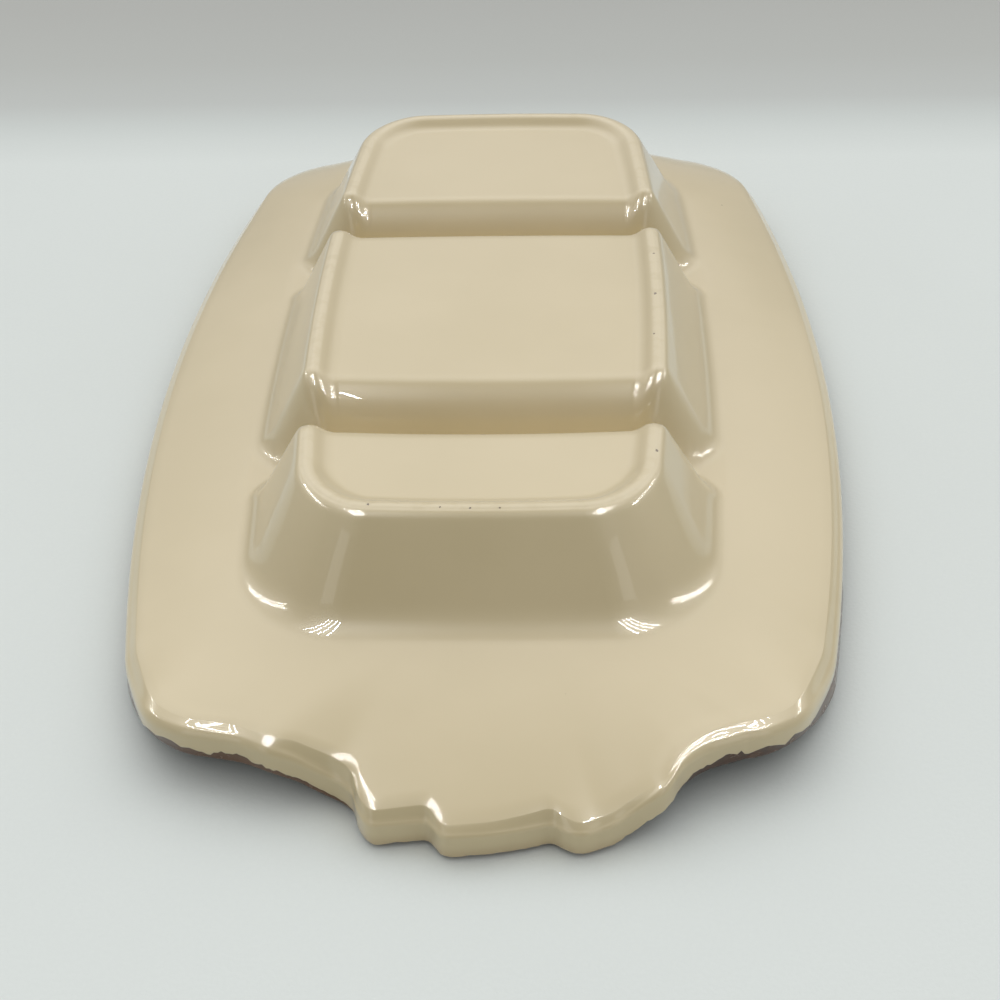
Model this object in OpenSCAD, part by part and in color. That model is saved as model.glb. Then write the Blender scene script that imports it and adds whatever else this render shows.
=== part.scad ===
// Relish tray with three wells, a foot ring, a soft flange and a handle at each end.
// It is modelled upside down, as it is shown: it stands on its handles, foot ring upwards.
// X runs across the tray, Y along it, Z up; the origin is at the bottom, in the middle.

/* [Rim] */
// Length of the rim from end to end, without the handles
rim_len = 280; // [268:1:310]
// Width of the rim across its middle
rim_w = 192; // [180:1:215]
// How far each side of the rim draws in towards the ends
rim_side_bow = 16; // [8:0.5:22]
// How far each end of the rim bows out between its corners
rim_end_bow = 5; // [2:0.5:9]
// Radius of the corners of the rim
rim_corner_r = 22; // [16:0.5:28]
// Thickness of the rolled edge of the rim
edge_t = 8; // [7:0.25:10]
// How much higher the rim stands over the table than the handles, at the near end
near_lift = 3; // [1:0.25:5]
// The same at the far end
far_lift = 0.5; // [0.25:0.25:3]

/* [Handles] */
// How far the longest point of a handle stands out from the rim
handle_out = 26; // [18:0.5:30]

/* [Flange] */
// Height of the flange over the table where it meets the wells
flange_z = 20; // [16:0.5:26]
// Thickness of the flange
flange_t = 6; // [4.5:0.25:7]

/* [Wells] */
// Length of the foot ring over its two ends
ring_len = 206; // [196:1:214]
// How far the foot ring lies from the middle of the rim towards its far end
ring_shift = 4.5; // [0:0.5:6]
// Length of the near well, from the end of the foot ring to the groove's shoulder
near_well_len = 31.5; // [27:0.5:35]
// Length of the far well, from the groove's shoulder to the end of the foot ring
far_well_len = 49.5; // [44:0.5:54]
// Width of the foot ring across its middle
ring_w = 94; // [84:1:102]
// How far each side of the foot ring draws in towards the ends
ring_side_bow = 6; // [3:0.5:9]
// How far each end of the foot ring bows out
ring_end_bow = 1.5; // [0.5:0.25:4]
// Radius of the corners of the foot ring
ring_corner_r = 18; // [14:0.5:20]
// Height of the foot ring over the inner margin of the flange
well_h = 24; // [18:0.5:30]
// Distance over which an outer wall beside the wells slopes out to the flange
wall_run = 17; // [14:0.5:20]
// Thickness of the walls of the wells
wall_t = 6; // [5:0.25:7]
// Thickness of the bottoms of the wells
bottom_t = 6; // [4.5:0.25:7]

/* [Grooves] */
// Width of a groove from shoulder to shoulder
groove_w = 27; // [24:0.5:31]
// Height of the floor of a groove over the inner margin of the flange
groove_floor_h = 7; // [4:0.5:10]
// How far a groove draws the outline of the wells in, which rounds their corners
groove_notch = 8; // [3:0.5:10]

/* [Foot ring] */
// Width of the flat top of the foot ring
ring_band = 2.4; // [1.8:0.1:3.6]
// Width of the slope from the foot ring to the recessed bottom
ring_slope = 4.8; // [3.6:0.1:6]
// Height of the foot ring over the recessed bottom
ring_h = 2.6; // [1.6:0.1:3.4]

/* [Brown glaze] */
// Thickness of the brown glaze coat
glaze_t = 0.8; // [0.6:0.05:1.2]
// Height on the edge of the rim that the brown glaze laps up to
glaze_lap = 2.8; // [2.2:0.1:3.3]

/* [Hidden] */

// Soft turns of the walls: at the foot ring, at the flange, at the groove's shoulder and floor
wall_lip = 2;
wall_foot = 6.5;
groove_lip = 8;
groove_foot = 4;
// The same turns on the serving side: mouth, bottom, crest of a divider and its foot
mouth_turn = 8;
bottom_turn = 5;
crest_turn = 7;
divider_turn = 5;
// Turns at the top and at the foot of the slope inside the foot ring
ring_lip = 0.5;
ring_foot = 3.4;
// Rounding of the edge on the rim, and at the tip of a handle
edge_r = 2.6;
tip_edge_r = 1.5;
// Rounding of the lower corner of the edge, and the width that rests on the table
lip_r = 2;
lip_foot_w = 4.4;
lip_foot_rise = 0.2;
// Band inside the edge where the flange folds down to it, and its drop, on the rim and then at a tip
turn_w = 4.5;
turn_drop = 1.8;
tip_turn_w = 2.2;
tip_turn_drop = 0.3;
// Band inside the edge where the serving face turns up to the underside of the flange
serving_turn_w = 8.5;

// Columns across an end, as shares of the rim's end, and how far the handle stands out at each
column_share = [-1, -0.85, -0.757, -0.64, -0.577, -0.47, -0.42, -0.405, -0.355, -0.151, -0.131, -0.09,
    0.081, 0.204, 0.295, 0.33, 0.4, 0.503, 0.597, 0.706, 0.761, 0.847, 1];
handle_share = [0, 0.035, 0.111, 0.21, 0.313, 0.465, 0.56, 0.71, 0.89, 0.82, 0.87, 1,
    0.965, 0.906, 0.845, 0.925, 0.99, 0.885, 0.672, 0.455, 0.24, 0.1, 0];
// Rows over a groove, as shares of half its width
groove_share = [-1, -0.8, -0.6, -0.42, -0.26, -0.12, 0, 0.12, 0.26, 0.42, 0.6, 0.8, 1];
// Rows between the two grooves, as shares of the distance
middle_share = [0.2, 0.5, 0.8];
// Loops across the flange and across its fold, as shares of their width
flange_share = [0.35, 0.7];
fold_share = 0.35;
// How much less the flange falls near the walls, as a share of its fall
flange_bend_share = 0.15;
// Where the ends of the rim begin, and how soon they are reached, as shares of half the rim's length;
// where the middle of an end ends, and how soon, as shares of half its width
end_share = [0.6, 0.35];
end_middle_share = [0.2, 0.45];
// How far the end walls run out, and how much the corners widen, as shares of the side walls' run
end_run_share = 0.97;
corner_run_share = 0.5;
// Where the brown coat starts beside the mouths of the wells, and its middle, as shares of its width
coat_share = [0.08, 0.5];
// A sloping wall is wider, measured level, than it is thick; a divider has two such walls
wall_slant_share = 1.12;
divider_slant_share = 0.7;
// Halvings with which a point's place on the flange is found, out to this many flange widths
halvings = 14;
most_out_share = 3;
// Steps round a corner, and the angles of the loops round the edge and its lower corner
corner_steps = 5;
edge_angles = [60, 25, 0];
lip_angles = [30, 90];

groove_half = groove_w / 2;
near_groove_y = near_well_len + groove_half - ring_len / 2;
far_groove_y = ring_len / 2 - far_well_len - groove_half;
wall_inset = wall_t * wall_slant_share;
divider_half = groove_half + wall_t * divider_slant_share;
// Distance from the middle to where the corners of the foot ring begin
straight_half = ring_len / 2 - ring_corner_r;

// A plan outline is [half width, half length, corner radius, side bow, end bow, shift of its middle,
// spread and shift of its straight rows]
rim_plan = [rim_w / 2, rim_len / 2, rim_corner_r, rim_side_bow, rim_end_bow, 0,
    (rim_len / 2 - rim_corner_r) / straight_half, 0];
// The outline that far outside the foot ring; the walls' foot has its middle in the middle of the rim.
// On the serving side the walls lie inside by an inset.
function ring_plan(out, inset = 0) =
    let (
        run = max(out + inset, 0),
        shift = ring_shift * (1 - run / wall_run))
    [ring_w / 2 + out, ring_len / 2 + out - run * (1 - end_run_share),
        ring_corner_r + out - run * (1 - corner_run_share),
        ring_side_bow, ring_end_bow, shift, 1, ring_shift - shift];
root_plan = ring_plan(wall_run);

// Straight rows beside the wells, from the near end to the far end
function side_rows(half) = concat(
    [-straight_half],
    [for (s = groove_share) near_groove_y + s * half],
    [for (s = middle_share) near_groove_y + half + s * (far_groove_y - near_groove_y - 2 * half)],
    [for (s = groove_share) far_groove_y + s * half],
    [(far_groove_y + half + straight_half) / 2, straight_half]);
outer_rows = side_rows(groove_half);
serving_rows = side_rows(divider_half);

columns = len(column_share) - 1;
rows = 2 * corner_steps + len(outer_rows) - 1;
// The border of the grid, as [row, column], once round from the near left corner
border = concat(
    [for (c = [0 : columns]) [0, c]],
    [for (r = [1 : rows - 1]) [r, columns]],
    [for (c = [columns : -1 : 0]) [rows, c]],
    [for (r = [rows - 1 : -1 : 1]) [r, 0]]);
turns = len(border);

// Half width and place of one row of the grid in a plan outline
function row_half(r, plan) =
    let (e = min(r, rows - r))
    e >= corner_steps ? plan[0] : plan[0] - plan[2] + plan[2] * cos(90 * (1 - e / corner_steps));
function row_y(r, plan, side) =
    let (e = min(r, rows - r), away = r < rows / 2 ? -1 : 1, straight = plan[1] - plan[2])
    e > corner_steps
        ? side[r - corner_steps] * plan[6] + plan[7]
        : away * (straight + plan[2] * sin(90 * (1 - e / corner_steps)));

// The outlines are barrel shaped: the sides and the ends bow out between the corners
function barrel(p, plan) = [
    p[0] * (1 - plan[3] / plan[0] * pow(p[1] / plan[1], 2)),
    p[1] * (1 - plan[4] / plan[1] * pow(p[0] / plan[0], 2)) + plan[5]];
function place(r, c, plan, side) =
    barrel([column_share[c] * row_half(r, plan), row_y(r, plan, side)], plan);

// The outline of the rim, plain, then with a handle on each end, and the way inwards from it
plain_line = [for (b = border) place(b[0], b[1], rim_plan, outer_rows)];
function handle_at(b) =
    b[0] == 0 ? -handle_out * handle_share[b[1]] :
    b[0] == rows ? handle_out * handle_share[b[1]] : 0;
rim_line = [for (i = [0 : turns - 1]) plain_line[i] + [0, handle_at(border[i])]];
inward = [for (i = [0 : turns - 1])
    let (d = plain_line[(i + 1) % turns] - plain_line[(i + turns - 1) % turns])
    [-d[1], d[0]] / norm(d)];

// Eased ramp: h up to b = 0, nothing from b = run on, with soft turns at both ends
function ramp(b, run, lip, foot, h) =
    let (m = h / (run - lip / 2 - foot / 2))
    b <= 0 ? h :
    b < lip ? h - m * b * b / (2 * lip) :
    b < run - foot ? h - m * (b - lip / 2) :
    b < run ? m * pow(run - b, 2) / (2 * foot) : 0;
function smooth(u) = let (c = min(max(u, 0), 1)) c * c * (3 - 2 * c);

// How deep a groove or a divider cuts at y, from 0 on a well to 1 in its middle
function cut_one(y, middle, half, lip, foot) = 1 - ramp(half - abs(y - middle), half, lip, foot, 1);
function cut(y, half, lip, foot) = max(
    cut_one(y, near_groove_y, half, lip, foot), cut_one(y, far_groove_y, half, lip, foot));

// Place of a row along the wells, from the middle of the foot ring
function along(r, plan, side) = row_y(r, plan, side) + plan[5] - ring_shift;

// How far a groove draws the wells' outline in at y
function notch(y) =
    let (past = min(abs(y - near_groove_y), abs(y - far_groove_y)))
    groove_notch * pow(max(1 - past / groove_half, 0), 2);

// Height of the underside over the table, out from the foot ring's edge and along the tray
function under_z(plan_out, y) =
    let (
        out = plan_out + notch(y),
        bottom = well_h - ring_h + ramp(-out - ring_band, ring_slope, ring_lip, ring_foot, ring_h),
        wall = ramp(out, wall_run, wall_lip, wall_foot, 1))
    flange_z + wall * (bottom - (bottom - groove_floor_h) * cut(y, groove_half, groove_lip, groove_foot));

// How far a point lies outside a plan outline
function beyond(p, plan) =
    let (
        past = abs(p[1] - plan[5]),
        x = abs(p[0]) + plan[3] * pow(min(past / plan[1], 1), 2),
        y = past + plan[4] * pow(min(abs(p[0]) / plan[0], 1), 2))
    norm([max(x - plan[0] + plan[2], 0), max(y - plan[1] + plan[2], 0)]) - plan[2];
// Where a point lies between the foot of the walls (0) and the plain rim (1), and farther out on a handle
function out_share(p, low = 0, high = most_out_share, left = halvings) =
    let (middle = (low + high) / 2)
    left == 0 ? middle :
    beyond(p, root_plan * (1 - middle) + rim_plan * middle) > 0
        ? out_share(p, middle, high, left - 1)
        : out_share(p, low, middle, left - 1);

// How near a point is to the tip of a handle, from 0 on the rim to 1, and the lift of the rim there
function on_handle(p) = smooth((abs(p[1]) - rim_len / 2 + turn_w) / handle_out);
function rim_lift(p) = near_lift + (far_lift - near_lift) * (p[1] / rim_len + 1 / 2);
// The value for the rim, or that for the tip of a handle, or one between them
function mixed(pair, share) = pair[0] * (1 - share) + pair[1] * share;
turn_w_pair = [turn_w, tip_turn_w];
turn_drop_pair = [turn_drop, tip_turn_drop];
edge_r_pair = [edge_r, tip_edge_r];

// Height of the flange: it falls from the walls to the rim and to the tips of the handles
function flange_at(p) =
    let (
        at_end = smooth((abs(p[1]) / rim_len * 2 - end_share[0]) / end_share[1]),
        past_middle = smooth((abs(p[0]) / rim_w * 2 - end_middle_share[0]) / end_middle_share[1]),
        at_middle = at_end * (1 - past_middle),
        end_flange = rim_plan[1] - root_plan[1],
        share = out_share(p) / (1 + at_middle * handle_out / end_flange),
        end_z = edge_t + mixed(turn_drop_pair, at_middle) + rim_lift(p) * (1 - at_middle))
    flange_z - (flange_z - end_z) * share * (1 - flange_bend_share * (1 - share));

// Height of the serving side, with its wells open downwards
serving_z = flange_z - flange_t;
well_in_h = well_h - ring_h - bottom_t + flange_t;
function serve_z(out, y) =
    let (wall = ramp(out + notch(y) + wall_inset, wall_run, bottom_turn, mouth_turn, 1))
    serving_z + wall * (well_in_h
        - (well_in_h - groove_floor_h) * cut(y, divider_half, divider_turn, crest_turn));

// Loops of points round the tray: on the edge, at a pair of insets and heights; on a wall; on the flange
function edge_loop(inset, z) = [for (i = [0 : turns - 1])
    let (h = on_handle(rim_line[i]), p = rim_line[i] + inward[i] * mixed(inset, h))
    [p[0], p[1], rim_lift(rim_line[i]) * (1 - h) + mixed(z, h)]];
function both(v) = [v, v];
function edge_arc(a) = edge_loop(edge_r_pair * (1 - cos(a)), both(edge_t) - edge_r_pair * (1 - sin(a)));
function lip_arc(r, a) = edge_loop(both(lip_r - r * cos(a)), both(lip_r - r * sin(a)));
function wall_loop(out, side, serving) = [for (b = border)
    let (
        plan = ring_plan(out, serving ? wall_inset : 0),
        y = along(b[0], plan, side),
        p = place(b[0], b[1], plan, side))
    [p[0], p[1], serving ? serve_z(out, y) : under_z(out, y)]];
function between(a, b, share) = [for (i = [0 : turns - 1]) a[i] * (1 - share) + b[i] * share];
function on_flange(a, depth) = [for (p = a) [p[0], p[1], flange_at(p) - depth]];
function raised(a, h) = [for (p = a) p + [0, 0, h]];

// Sections of the shell, from the foot ring out, round the edge, and back into the wells
ring_out = [-ring_band - ring_slope, -ring_band - ring_slope / 2, -ring_band, 0];
wall_out = [wall_lip / 2, wall_lip, (wall_lip + wall_run - wall_foot) / 2, wall_run - wall_foot,
    wall_run - wall_foot / 2, wall_run];
flange_root = wall_loop(wall_run, outer_rows, false);
// The flange folds down to the edge from this loop on, with one loop part of the way down the fold
turn_start = [for (p = edge_loop(turn_w_pair, both(edge_t + tip_turn_drop)))
    [p[0], p[1], max(p[2], flange_at(p))]];
turn_middle = between(turn_start, edge_arc(edge_angles[0]), fold_share);
top_loops = concat(
    [for (out = concat(ring_out, wall_out)) wall_loop(out, outer_rows, false)],
    [for (share = flange_share) on_flange(between(flange_root, turn_start, share), 0)],
    [turn_start, turn_middle],
    [for (a = edge_angles) edge_arc(a)],
    [edge_loop(both(0), both(glaze_lap))]);

// The brown coat lies in a rebate that starts on the edge and ends at the mouths of the wells
mouth = wall_loop(wall_run - wall_inset, serving_rows, true);
serving_turn = on_flange(edge_loop(both(serving_turn_w), both(0)), flange_t);
coat_flat = [for (share = [1, coat_share[1], coat_share[0]])
    share == 1 ? serving_turn : on_flange(between(mouth, serving_turn, share), flange_t)];
coat_face = concat(
    [edge_loop(both(0), both(glaze_lap))],
    [for (a = lip_angles) lip_arc(lip_r, a)],
    [edge_loop(both(lip_foot_w), both(lip_foot_rise))],
    coat_flat);
coat_bed = concat(
    [edge_loop(both(glaze_t), both(glaze_lap))],
    [for (a = lip_angles) lip_arc(lip_r - glaze_t, a)],
    [edge_loop(both(lip_foot_w), both(lip_foot_rise + glaze_t))],
    [for (loop = coat_flat) raised(loop, glaze_t)]);

well_out = [wall_run - wall_inset - mouth_turn / 2, wall_run - wall_inset - mouth_turn,
    bottom_turn - wall_inset, bottom_turn / 2 - wall_inset, -wall_inset];
well_loops = concat(
    [coat_face[len(coat_face) - 1], mouth],
    [for (out = well_out) wall_loop(out, serving_rows, true)]);
body_loops = concat(top_loops, coat_bed, well_loops);

// Flat grids that close the shell over the bottoms, inside the first and the last loop
function grid_points(plan, side, serving) = [for (r = [1 : rows - 1]) for (c = [1 : columns - 1])
    let (p = place(r, c, plan, side), y = along(r, plan, side), out = plan[0] - ring_w / 2)
    [p[0], p[1], serving ? serve_z(out, y) : under_z(out, y)]];
function border_index(r, c) =
    r == 0 ? c :
    c == columns ? columns + r :
    r == rows ? 2 * columns + rows - c :
    turns - r;
function grid_index(r, c, loop_start, grid_start) =
    r == 0 || r == rows || c == 0 || c == columns
        ? loop_start + border_index(r, c)
        : grid_start + (r - 1) * (columns - 1) + c - 1;
function two_sides(a, b, c, d, flip) = flip ? [[a, c, b], [a, d, c]] : [[a, b, c], [a, c, d]];
function grid_faces(loop_start, grid_start, flip) = [for (r = [0 : rows - 1]) for (c = [0 : columns - 1])
    for (f = two_sides(
        grid_index(r, c, loop_start, grid_start), grid_index(r, c + 1, loop_start, grid_start),
        grid_index(r + 1, c + 1, loop_start, grid_start), grid_index(r + 1, c, loop_start, grid_start),
        flip)) f];
// Faces between each loop and the next; closed joins the last loop to the first as well.
// From the loop number given as turned on, each four points are halved the other way.
function band_faces(count, closed, turned) = [for (k = [0 : count - (closed ? 1 : 2)])
    for (i = [0 : turns - 1])
        let (j = (i + 1) % turns, a = k * turns, b = ((k + 1) % count) * turns)
        for (f = k < turned
            ? two_sides(a + i, a + j, b + j, b + i, false)
            : two_sides(a + j, b + j, b + i, a + i, false)) f];
function joined(list) = [for (part = list) for (item = part) item];

// One casting: foot ring, wells, grooves, flange, rolled edge and both handles
module tray_body() {
    count = len(body_loops);
    last = (count - 1) * turns;
    under_grid = grid_points(ring_plan(ring_out[0]), outer_rows, false);
    well_grid = grid_points(ring_plan(-wall_inset, wall_inset), serving_rows, true);
    color([0.84, 0.78, 0.66])
        polyhedron(
            points = concat(joined(body_loops), under_grid, well_grid),
            faces = concat(
                band_faces(count, false, count),
                grid_faces(0, count * turns, true),
                grid_faces(last, count * turns + len(under_grid), false)));
}

// Brown glaze coat over the serving face of the flange, lapped up round the edge.
// Where it meets the casting its faces are halved as the casting's are, so that they lie flush.
module rim_glaze() {
    coat = concat(coat_face, [for (k = [len(coat_bed) - 1 : -1 : 0]) coat_bed[k]]);
    color([0.36, 0.27, 0.2])
        polyhedron(
            points = joined(coat),
            faces = band_faces(len(coat), true, len(coat_face) - 1));
}

tray_body();
rim_glaze();
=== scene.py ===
"""Relish tray with three wells, lying upside down on a pale sheet.

Lengths are in millimetres and become metres where a mesh is made. X runs across the tray, Y along it, Z up.
"""

import math

import bpy
import numpy as np
from mathutils import Matrix, Vector


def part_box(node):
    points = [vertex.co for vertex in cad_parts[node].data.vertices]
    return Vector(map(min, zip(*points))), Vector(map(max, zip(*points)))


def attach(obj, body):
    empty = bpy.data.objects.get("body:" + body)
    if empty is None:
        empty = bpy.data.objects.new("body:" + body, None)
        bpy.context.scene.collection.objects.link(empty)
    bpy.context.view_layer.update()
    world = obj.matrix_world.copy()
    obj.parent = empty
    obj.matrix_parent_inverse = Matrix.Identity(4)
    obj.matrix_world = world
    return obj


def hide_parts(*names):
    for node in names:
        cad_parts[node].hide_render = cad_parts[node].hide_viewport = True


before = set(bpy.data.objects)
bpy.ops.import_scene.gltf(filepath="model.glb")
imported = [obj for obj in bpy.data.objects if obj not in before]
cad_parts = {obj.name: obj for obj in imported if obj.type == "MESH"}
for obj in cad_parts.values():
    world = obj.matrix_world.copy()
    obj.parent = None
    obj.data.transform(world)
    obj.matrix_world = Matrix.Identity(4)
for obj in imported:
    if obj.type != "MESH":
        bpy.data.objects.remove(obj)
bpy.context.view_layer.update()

MM = 0.001

# Rim and handles: plan, edge, and how high each end is lifted over the sheet

body_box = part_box("tray_body")
RIM_HALF_W = body_box[1][0] / MM
RIM_HALF_LEN = 140.0
RIM_CORNER_R = 22.0
RIM_SIDE_BOW = 16.0
RIM_END_BOW = 5.0
EDGE_T = 8.0
EDGE_R = 3.0
HANDLE_EDGE_R = 1.5
NEAR_LIFT = 4.5
FAR_LIFT = 2.0
HANDLE_OUT = 26.0

# The rim waves up at its near corners, beside the handle, and stands out further there. It does so between
# two distances from the tray's middle line, and from a place along it on; each has the length of its change
CORNER_RISE = 4.0
RISE_REACH = 1.6
RISE_START = (27, 20)
RISE_END = (74, 14)
RISE_ALONG = (116, 16)

# Flange: height at the walls, thickness, how much of its fall comes late, and the turn down to the edge

FLANGE_Z = 20.0
FLANGE_T = 6.0
FLANGE_BEND = 0.4
TURN_W = 3.4
HANDLE_TURN_W = 2.2
TURN_DROP = 0.9
SIDE_TURN_SHARE = 0.1
HANDLE_TURN_DROP = 0.3
TURN_END_ANGLE = 58
TURN_POWER = 1.25
# Where the turn of the sides grows into that of the ends: a place along the tray, and the change's length
END_TURN_START = (95, 30)
# Where the slope of the handle takes over: start and length of the change, as shares of the rim's half
# length and of its half width
HANDLE_ALONG = (0.6, 0.35)
HANDLE_ACROSS = (0.2, 0.45)

# Foot ring: plan, flat band, and the slope inside it

RING_HALF_LEN = 103.0
RING_SHIFT = 4.5
RING_HALF_W = 47.0
RING_CORNER_R = 18.0
RING_SIDE_BOW = 6.0
RING_END_BOW = 1.5
RING_BAND = 2.4
RING_SLOPE = 4.8
RING_H = 2.6
RING_CROWN = 0.25
RING_LIP = 0.5
RING_FOOT = 3.4

# Wells and their walls

WELL_H = 24.0
WALL_RUN = 17.0
END_RUN_SHARE = 0.97
CORNER_RUN_SHARE = 0.5
WALL_LIP = 2.0
WALL_FOOT = 6.5
WALL_INSET = 6.72
BOTTOM_T = 6.0
MOUTH_TURN = 8.0
BOTTOM_TURN = 5.0
FOOT_Z = WELL_H + FLANGE_Z

# Grooves between the wells: the middle of each and its share of the full width, and their soft turns

GROOVES = ((-58.6, 1.0), (39.0, 0.92))
GROOVE_NOTCH = 8.0
GROOVE_HALF = 13.5
GROOVE_LIP = 9.0
GROOVE_FOOT = 4.0
GROOVE_FLOOR_H = 7.0
DIVIDER_HALF = 17.7
CREST_TURN = 7.0
DIVIDER_TURN = 5.0

# Lip of the edge and the brown coat on it

LIP_R = 2.0
LIP_DROP_SHARE = 0.65
LIP_FOOT_W = 4.4
LIP_FOOT_RISE = 0.2
LIP_OUT = 0.4
SERVING_TURN_W = 8.5
COAT_T = 0.8
COAT_LAP = 2.8
COAT_BACK_SHARE = 0.6
COAT_BACK_INSET = 1.2
COAT_TUCK = 0.6
# The coat's back starts behind this loop of its face
COAT_BACK_START = 3
# Where the coat comes out below the cream glaze: how far below its line, how far above the lip's side at
# least, and its share of the lip's bulge
COAT_SHOWN_DROP = 0.2
COAT_SHOWN_LEAST = 0.3
COAT_SHOWN_BULGE = 0.4

# Lower line of the cream glaze: how it ends on the rim and on the handles, and how far it stands proud

CREAM_SHORT = 0.3
HANDLE_CREAM_END = 1.5
HANDLE_RAGGED_SHARE = 0.4
HANDLE_CREAM_FADE = (2, 10)
RISE_RAGGED = 0.9
RISE_DRAWN = 0.3
RISE_BULGE_LOSS = 0.4
CREAM_PROUD = 0.3
# Loops of the glaze's rounded end: how far in from the edge, and how far above the line
CREAM_EDGE = ((0, 0.5), (0, 0.15), (0.08, 0), (CREAM_PROUD, 0.02))
# Lobes that hang down along that line: seed, how far they hang at least and at most, and their widths
GLAZE_LOBES = ((7, 0.2, 0.8, 3.0, 7.5), (8, 0.0, 0.6, 1.6, 3.4), (9, 0.0, 0.5, 1.2, 2.4))
LOBE_POWER = 0.6
# Where the cream glaze has drawn back, so that the brown lip shows and stands out: how strongly, on which
# side (1 is the right one), from where to where along it, and how long it fades out
BARE_PLACES = ((1.0, 1, -124, -86, 12), (0.4, 1, -80, -62, 10), (0.3, 1, -44, -41, 2),
               (0.7, -1, -126, -109, 12), (0.2, -1, -90, -60, 10))
BARE_DRAWN = 1.3
BARE_BULGE = 0.5

# Where the shell runs behind the brown coat: in from the edge and over the coat, and then under the flange as
# shares of the way to the wells' mouths
HIDDEN_INSET = 1.6
HIDDEN_GAP = 0.4
HIDDEN_SHARES = np.linspace(0, 0.9, 10)
HIDDEN_END = 0.93

# Where the handle's outline turns, as shares of the rim's end, and how far it stands out there
HANDLE_TURNS = (
    (-1, 0), (-0.85, 0.035), (-0.757, 0.111), (-0.64, 0.21), (-0.577, 0.313), (-0.47, 0.465),
    (-0.42, 0.56), (-0.405, 0.71), (-0.355, 0.89), (-0.151, 0.82), (-0.131, 0.87), (-0.09, 1),
    (0.081, 0.965), (0.204, 0.906), (0.295, 0.845), (0.33, 0.925), (0.4, 0.99), (0.503, 0.885),
    (0.597, 0.672), (0.706, 0.455), (0.761, 0.24), (0.847, 0.1), (1, 0))
HANDLE_TURN_REACH = 2.4
TURN_REACH_SHARE = 0.45

# How finely the tray is drawn: rows and columns of the wells, and the loops round them as shares of a part
COLUMNS = 160
CORNER_STEPS = 14
STRAIGHT_ROWS = 140
OUTLINE_TURN_STEPS = 7
RING_STEPS = (1, 0.85, 0.67, 0.5, 0.33, 0.15)
BAND_STEPS = (1, 0.8, 0.6, 0.4, 0.2, 0.08, 0)
LIP_STEPS = (0.15, 0.3, 0.45, 0.6, 0.8, 1)
WALL_LOOPS = 4
FOOT_STEPS = (0.86, 0.71, 0.57, 0.43, 0.28, 0.14, 0)
FLANGE_STEPS = np.linspace(0, 1, 12)[1:-1]
TURN_STEPS = (0.06, 0.15, 0.3, 0.5, 0.75)
EDGE_ANGLES = (TURN_END_ANGLE, 50, 35, 20, 8, 0)
LIP_ANGLES = (0, 20, 40, 60, 80, 90)
LIP_FOOT_STEPS = (0.33, 0.66, 1)
SERVING_STEPS = np.linspace(0, 0.92, 10)[1:]
MOUTH_STEPS = (0.2, 0.4, 0.6, 0.8, 1)
WELL_WALL_STEPS = (0.5, 1)
BOTTOM_STEPS = (0.8, 0.6, 0.4, 0.2, 0)
OUT_SHARE_STEPS = 20


# The outline of the tray

def rounded_line(points, reach):
    """The line through points with each of its turns rounded over a reach to both sides."""
    line = [points[0]]
    for before, turn, after in zip(points, points[1:], points[2:]):
        a = before - turn
        b = after - turn
        start = turn + a * min(TURN_REACH_SHARE, reach / np.linalg.norm(a))
        end = turn + b * min(TURN_REACH_SHARE, reach / np.linalg.norm(b))
        for t in np.linspace(0, 1, OUTLINE_TURN_STEPS):
            line.append(start * (1 - t) ** 2 + turn * 2 * t * (1 - t) + end * t * t)
    line.append(points[-1])
    return np.array(line)


def handle_line(count):
    """Shares of the rim's end, evenly spaced along the handle's outline, and how far it stands out there."""
    end_half = (RIM_HALF_W - RIM_CORNER_R) * (1 - RIM_SIDE_BOW / RIM_HALF_W)
    points = np.array(HANDLE_TURNS) * (end_half, HANDLE_OUT)
    line = rounded_line(points, HANDLE_TURN_REACH)
    along = np.concatenate([[0], np.cumsum(np.linalg.norm(np.diff(line, axis=0), axis=1))])
    places = np.linspace(0, along[-1], count)
    return np.interp(places, along, line[:, 0]) / end_half, np.interp(places, along, line[:, 1])


COLUMN_SHARE, HANDLE_STEP = handle_line(COLUMNS + 1)
ROWS = 2 * CORNER_STEPS + STRAIGHT_ROWS
CORNER_TURN = np.radians(90 * (1 - np.arange(CORNER_STEPS) / CORNER_STEPS))
STRAIGHT_SHARE = np.linspace(-1, 1, STRAIGHT_ROWS + 1)
BORDER = np.array(
    [(0, c) for c in range(COLUMNS + 1)] + [(r, COLUMNS) for r in range(1, ROWS)]
    + [(ROWS, c) for c in range(COLUMNS, -1, -1)] + [(r, 0) for r in range(ROWS - 1, 0, -1)])
TURNS = len(BORDER)


def ring_plan(out, inset=0):
    """Half width and length, corner radius, bows and shift of the outline that far outside the foot ring."""
    run = max(out + inset, 0)
    return (RING_HALF_W + out, RING_HALF_LEN + out - run * (1 - END_RUN_SHARE),
            RING_CORNER_R + out - run * (1 - CORNER_RUN_SHARE),
            RING_SIDE_BOW, RING_END_BOW, RING_SHIFT * (1 - run / WALL_RUN))


RIM_PLAN = (RIM_HALF_W, RIM_HALF_LEN, RIM_CORNER_R, RIM_SIDE_BOW, RIM_END_BOW, 0)


def rows_of(plan):
    """Half width and place of every row in a plan outline."""
    half_w, half_len, corner, _, _, _ = plan
    narrow = half_w - corner + corner * np.cos(CORNER_TURN)
    past = half_len - corner + corner * np.sin(CORNER_TURN)
    half = np.concatenate([narrow, np.full(STRAIGHT_ROWS + 1, half_w), narrow[::-1]])
    y = np.concatenate([-past, STRAIGHT_SHARE * (half_len - corner), past[::-1]])
    return half, y


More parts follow.
